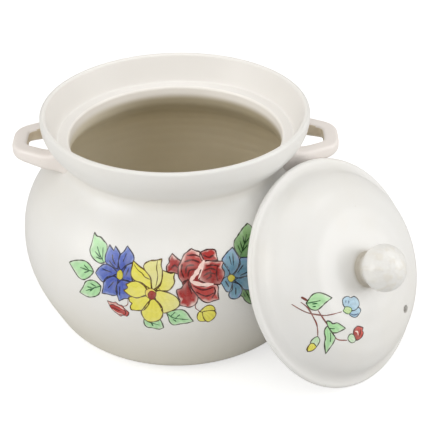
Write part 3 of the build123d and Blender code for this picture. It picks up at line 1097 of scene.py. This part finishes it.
for spots in (
    [(45.5, 122), (46, 116)], [(49, 123.5), (47.5, 115)], [(56, 114), (50, 109)],
    [(47.5, 98), (47, 91.5)], [(39.5, 105), (42, 99.5)], [(60, 108), (52, 106.5)],
):
    teal_petals.append(brush_line(spots, 1.0, teal_line, 3.6))
teal_petals += petal(
    [(44.5, 109), (47, 107.5), (47.5, 105.5), (45.5, 103.5), (43, 103.5), (41.5, 106.5),
     (42.5, 108.5)],
    golden, golden, leaf_line, 4.2, line=fine_line)
gather("pale_blue_flower", teal_petals, "pot")

# The red bud and the yellow bud on their stems
stem_brown = shade_of(116, 62, 54)
bud_film = shade_of(222, 176, 166)
buds = petal(
    [(-53.5, 86, 1), (-49.5, 85.5), (-46.5, 86.5, 1), (-44, 84.5), (-41.5, 84.5, 1),
     (-39, 81.5), (-36, 79, 1), (-36.5, 76.5), (-38, 74.5, 1), (-41, 75), (-43, 73.5, 1),
     (-46, 75.5), (-49, 78), (-51.5, 81.5)],
    bud_film, soft_red, rose_line, 1, line=fine_line)
buds += petal(
    [(-52, 82, 1), (-49, 83.5), (-45.5, 82.5), (-42, 82), (-38.5, 79.5, 1), (-39, 76.5),
     (-42, 75.5), (-46.5, 76.5), (-50, 79)],
    rose_red, soft_red, rose_line, 2, line=fine_line)
for spots, colour in (
    ([(-50, 81), (-45.5, 79.5), (-40.5, 78)], rose_streak),
    ([(-47.5, 84.5), (-43.5, 83), (-40, 81)], rose_rim),
    ([(-49.5, 79), (-45.5, 76.5), (-41, 76)], rose_rim),
):
    buds.append(brush_line(spots, 0.85, colour, 3))
buds.append(brush_line(
    [(-36.5, 91), (-36.5, 87), (-38.5, 84.5), (-41, 84)], 0.7, stem_brown, 1))
buds.append(brush_line([(15.5, 88), (15.5, 85), (19, 81.5)], 0.9, stem_brown, 1))
for spots, layer in (
    ([(18.5, 81.5, 1), (22.5, 85.5), (26.5, 86.5), (29.5, 84.5), (30.5, 81, 1), (25.5, 80.5),
      (22.5, 80)], 2),
    ([(18.5, 82, 1), (17, 79.5), (16.5, 75.5), (18.5, 72), (23.5, 71.5, 1), (21.5, 77),
      (20.5, 80.5)], 2),
    ([(20.5, 80.5), (22, 73.5), (25, 70.5), (28, 72), (30.5, 75), (31, 78.5), (29, 81),
      (24, 81.5)], 3),
):
    buds += petal(spots, lemon, yellow, olive_line, layer, line=0.85)
gather("garland_buds", buds, "pot")

# Painted sprig on the lid
# The same enamels on the dome: brown stems, three leaves, a blue bloom, and a red and a
# yellow bud in their green cups. Places are millimetres from the lid's centre.
def on_dome(x, y, lift):
    """The place on the standing lid of a spot of the drawing."""
    radius = hypot(x, y) * mm
    height = dome[-1][1]
    slope = 0
    for inner, outer in zip(dome, dome[1:]):
        if inner[0] <= radius <= outer[0]:
            slope = (outer[1] - inner[1]) / (outer[0] - inner[0])
            height = inner[1] + (radius - inner[0]) * slope
    out = radius - lift * slope / hypot(1, slope)
    turn = atan2(y, x)
    up_by = lift / hypot(1, slope)
    return stance @ Vector((out * cos(turn), out * sin(turn), height + up_by))


sprig = [
    brush_line(spots, width, stem_brown, layer, on_dome)
    for spots, width, layer in (
        ([(-73.5, 5), (-70, -1), (-66, -6), (-60, -10.5), (-53, -14.5), (-39.5, -18)], 1.0, 1),
        ([(-68, 4), (-65, -2.5), (-63.5, -10.5), (-62.5, -18), (-63.5, -27)], 1.0, 1.4),
        ([(-66.5, 7.5), (-63.5, 3)], 1.5, 1.2),
        ([(-58.5, -7), (-57, -13.5), (-54.5, -22), (-52, -31), (-49, -37), (-41, -41.5)], 1.1,
         1.8))
]
sprig += pale_leaf(
    [(-65, 1.5, 1), (-63, 3), (-59.5, 5), (-56, 5.5), (-52, 4), (-48, 0.5), (-44, -4, 1),
     (-48, -4.5), (-51, -5), (-55.5, -6.5), (-59, -7), (-62, -5.5), (-64, -3)],
    [[(-65, 1.5), (-60, 0), (-54, -1.5)], [(-61, -1), (-57, -2.5)], [(-61.5, -3), (-59, -4)]],
    on_dome, 2.4)
sprig += pale_leaf(
    [(-54.5, -23, 1), (-54.5, -19), (-52, -20), (-50, -23), (-46.5, -24), (-43.5, -27.5),
     (-40.5, -31.5, 1), (-45, -31.5), (-49.5, -31), (-53, -28.5)],
    [[(-54, -25), (-49.5, -27.5)]],
    on_dome, 2.4)
sprig += pale_leaf(
    [(-55, -22.5, 1), (-57.5, -24), (-58.5, -26.5), (-58.5, -31), (-59.5, -34.5),
     (-59.5, -39), (-59, -44, 1), (-56.5, -41), (-53.5, -38), (-51, -34.5), (-52, -31),
     (-53.5, -26.5)],
    [[(-54, -28.5), (-54.5, -32), (-55.5, -36)]],
    on_dome, 3)
sky = shade_of(150, 188, 212)
pale_sky = shade_of(176, 206, 224)
cup_green = shade_of(184, 212, 146)
sprig += petal(
    [(-31, -21.5, 1), (-27, -22.5), (-23, -22), (-21.5, -25), (-24, -27), (-28, -28),
     (-31.5, -26), (-33.5, -22.5)],
    sky, pale_sky, teal_line, 2.4, on_dome, line=0.85)
sprig += petal(
    [(-33.5, -18, 1), (-36, -15), (-36, -11.5), (-35, -9.5), (-32, -9), (-29, -10),
     (-27, -12), (-23.5, -12.5), (-21, -15.5), (-20.5, -18.5), (-21.5, -21), (-25.5, -22.5),
     (-30, -21.5)],
    sky, pale_sky, teal_line, 3, on_dome, line=0.85)
for spots in ([(-32.5, -11.5), (-33.5, -13.5)], [(-30, -13), (-31, -15)],
              [(-33, -22.5), (-29.5, -25.5), (-25, -26.5)]):
    sprig.append(brush_line(spots, 1.1, shade_of(62, 92, 128), 4, on_dome))
sprig += petal(
    [(-36.5, -17), (-35, -16), (-32.5, -17), (-30, -19.5), (-30.5, -21.5), (-33.5, -22.5),
     (-36, -21), (-38, -18)],
    cup_green, cup_green, vein_green, 4.4, on_dome, line=0.75)
sprig += petal(
    [(-35, -40.5, 1), (-34, -37), (-31.5, -35.5), (-28.5, -35.5), (-24, -39, 1), (-25.5, -41),
     (-25, -43), (-27.5, -45.5), (-31, -46), (-34, -44.5)],
    deep_red, shade_of(214, 96, 84), rose_line, 2.4, on_dome, line=0.9)
sprig.append(brush_line(
    [(-32.5, -38), (-30.5, -39.5), (-30.5, -42.5)], 1.1, rose_rim, 3.6, on_dome))
sprig.append(brush_line(
    [(-27, -39), (-28, -41.5), (-30, -44.5)], 0.8, rose_line, 3.6, on_dome))
sprig += petal(
    [(-40, -39.5), (-37.5, -38), (-35, -39.5), (-34, -42), (-33.5, -45), (-35.5, -46),
     (-38, -45), (-40, -42)],
    mint, leaf_rim, leaf_line, 3.4, on_dome, line=0.75)
sprig += petal(
    [(-66, -31), (-68, -30.5), (-69.5, -31.5), (-70.5, -34), (-70, -36.5, 1), (-68, -37),
     (-66, -36), (-65, -34.5)],
    lemon, yellow, olive_line, 2.4, on_dome, line=0.85)
sprig += petal(
    [(-63.5, -27, 1), (-65.5, -27), (-67.5, -28), (-68.5, -30), (-66.5, -31.5),
     (-65, -35, 1), (-63.5, -33), (-62.5, -30.5)],
    mint, leaf_rim, leaf_line, 3.4, on_dome, line=0.75)
gather("lid_sprig", sprig, "lid")

# Studio
# A pale floor that runs on to a white ground, soft boxes at the sides, in front and overhead,
# and the camera where the photograph was taken from.
floor_size = 6
floor_drop = 0.2 * mm
paper_grey = (0.66, 0.66, 0.66, 1)
paper_glow = 0.6
pure_white = (1, 1, 1, 1)
pure_black = (0, 0, 0, 1)
sky_tint = (1.0, 0.98, 0.93, 1)
sky_strength = 0.50
camera_place = (31.575 * mm, -941.093 * mm, 665.782 * mm)
camera_pitch = radians(31.468)
camera_roll = radians(-0.721)
sensor_width = 36
focal_length = 108
nearest = 0.05

bpy.ops.object.select_all(action="DESELECT")
bpy.ops.mesh.primitive_plane_add(size=floor_size, location=(0, 0, -floor_drop))
ground = bpy.context.object
ground.name = "studio_floor"
paper = Finish("white_studio_floor")
paper.look("Base Color", paper_grey)
paper.look("Roughness", 0.9)
camera_ray = paper.node("ShaderNodeLightPath", {}, {}, "Is Camera Ray")
glow = paper.node("ShaderNodeEmission", {}, {"Color": pure_white, "Strength": paper_glow})
paper_face = Tone(paper, paper.shader.outputs["BSDF"])
dark = paper.node("ShaderNodeEmission", {}, {"Color": pure_black, "Strength": 0.0})
seen = paper.node("ShaderNodeMixShader", {}, {0: camera_ray, 1: dark, 2: glow})
lit = paper.node("ShaderNodeAddShader", {}, {0: paper_face, 1: seen})
paper.feed(paper.tree.nodes["Material Output"].inputs["Surface"], lit)
ground.data.materials.append(paper.material)

world = bpy.context.scene.world or bpy.data.worlds.new("studio")
bpy.context.scene.world = world
world.use_nodes = True
world_tree = world.node_tree
world_tree.nodes.clear()
light_path = world_tree.nodes.new("ShaderNodeLightPath")
either = world_tree.nodes.new("ShaderNodeMixShader")
world_out = world_tree.nodes.new("ShaderNodeOutputWorld")
world_tree.links.new(light_path.outputs["Is Camera Ray"], either.inputs[0])
# the first sky lights the pot, and the camera sees the second one
for socket, colour, strength in ((1, sky_tint, sky_strength), (2, pure_white, 1.0)):
    sky = world_tree.nodes.new("ShaderNodeBackground")
    sky.inputs["Color"].default_value = colour
    sky.inputs["Strength"].default_value = strength
    world_tree.links.new(sky.outputs[0], either.inputs[socket])
world_tree.links.new(either.outputs[0], world_out.inputs["Surface"])


def soft_box(name, place, aim, size, power):
    """A soft box turned towards its aim."""
    bpy.ops.object.select_all(action="DESELECT")
    way = Vector(aim) - Vector(place)
    bpy.ops.object.light_add(
        type="AREA", location=place, rotation=way.to_track_quat("-Z", "Y").to_euler())
    lamp = bpy.context.object
    lamp.name = name
    lamp.data.shape = "RECTANGLE"
    lamp.data.size, lamp.data.size_y = size
    lamp.data.energy = power


belly_middle = (0, 0, 0.1)
for name, place, aim, size, power in (
    ("right_box", (1.45, -0.3, 0.5), (0.05, 0, 0.1), (0.9, 0.9), 7.4),
    ("high_right_box", (0.9, 0.1, 1.2), (-0.1, 0, 0.12), (0.5, 0.5), 2.6),
    ("left_box", (-1.35, -0.7, 0.75), belly_middle, (1.0, 1.0), 9.6),
    ("front_box", (-0.25, -1.35, 1.2), belly_middle, (1.2, 1.0), 5.2),
    ("overhead_box", (0, 0, 1.7), belly_middle, (1.2, 1.0), 3.4),
):
    soft_box(name, place, aim, size, power)

bpy.ops.object.camera_add(location=camera_place)
camera = bpy.context.object
forward = Vector((0, cos(camera_pitch), -sin(camera_pitch)))
side_way = Vector((1, 0, 0))
top_way = Vector((0, sin(camera_pitch), cos(camera_pitch)))
camera_x = side_way * cos(camera_roll) + top_way * sin(camera_roll)
camera_y = top_way * cos(camera_roll) - side_way * sin(camera_roll)
facing_in = Matrix((camera_x, camera_y, -forward)).transposed().to_4x4()
camera.matrix_world = Matrix.Translation(camera.location) @ facing_in
camera.data.sensor_width = sensor_width
camera.data.lens = focal_length
camera.data.clip_start = nearest
bpy.context.scene.camera = camera
bpy.context.scene.view_settings.view_transform = "Standard"
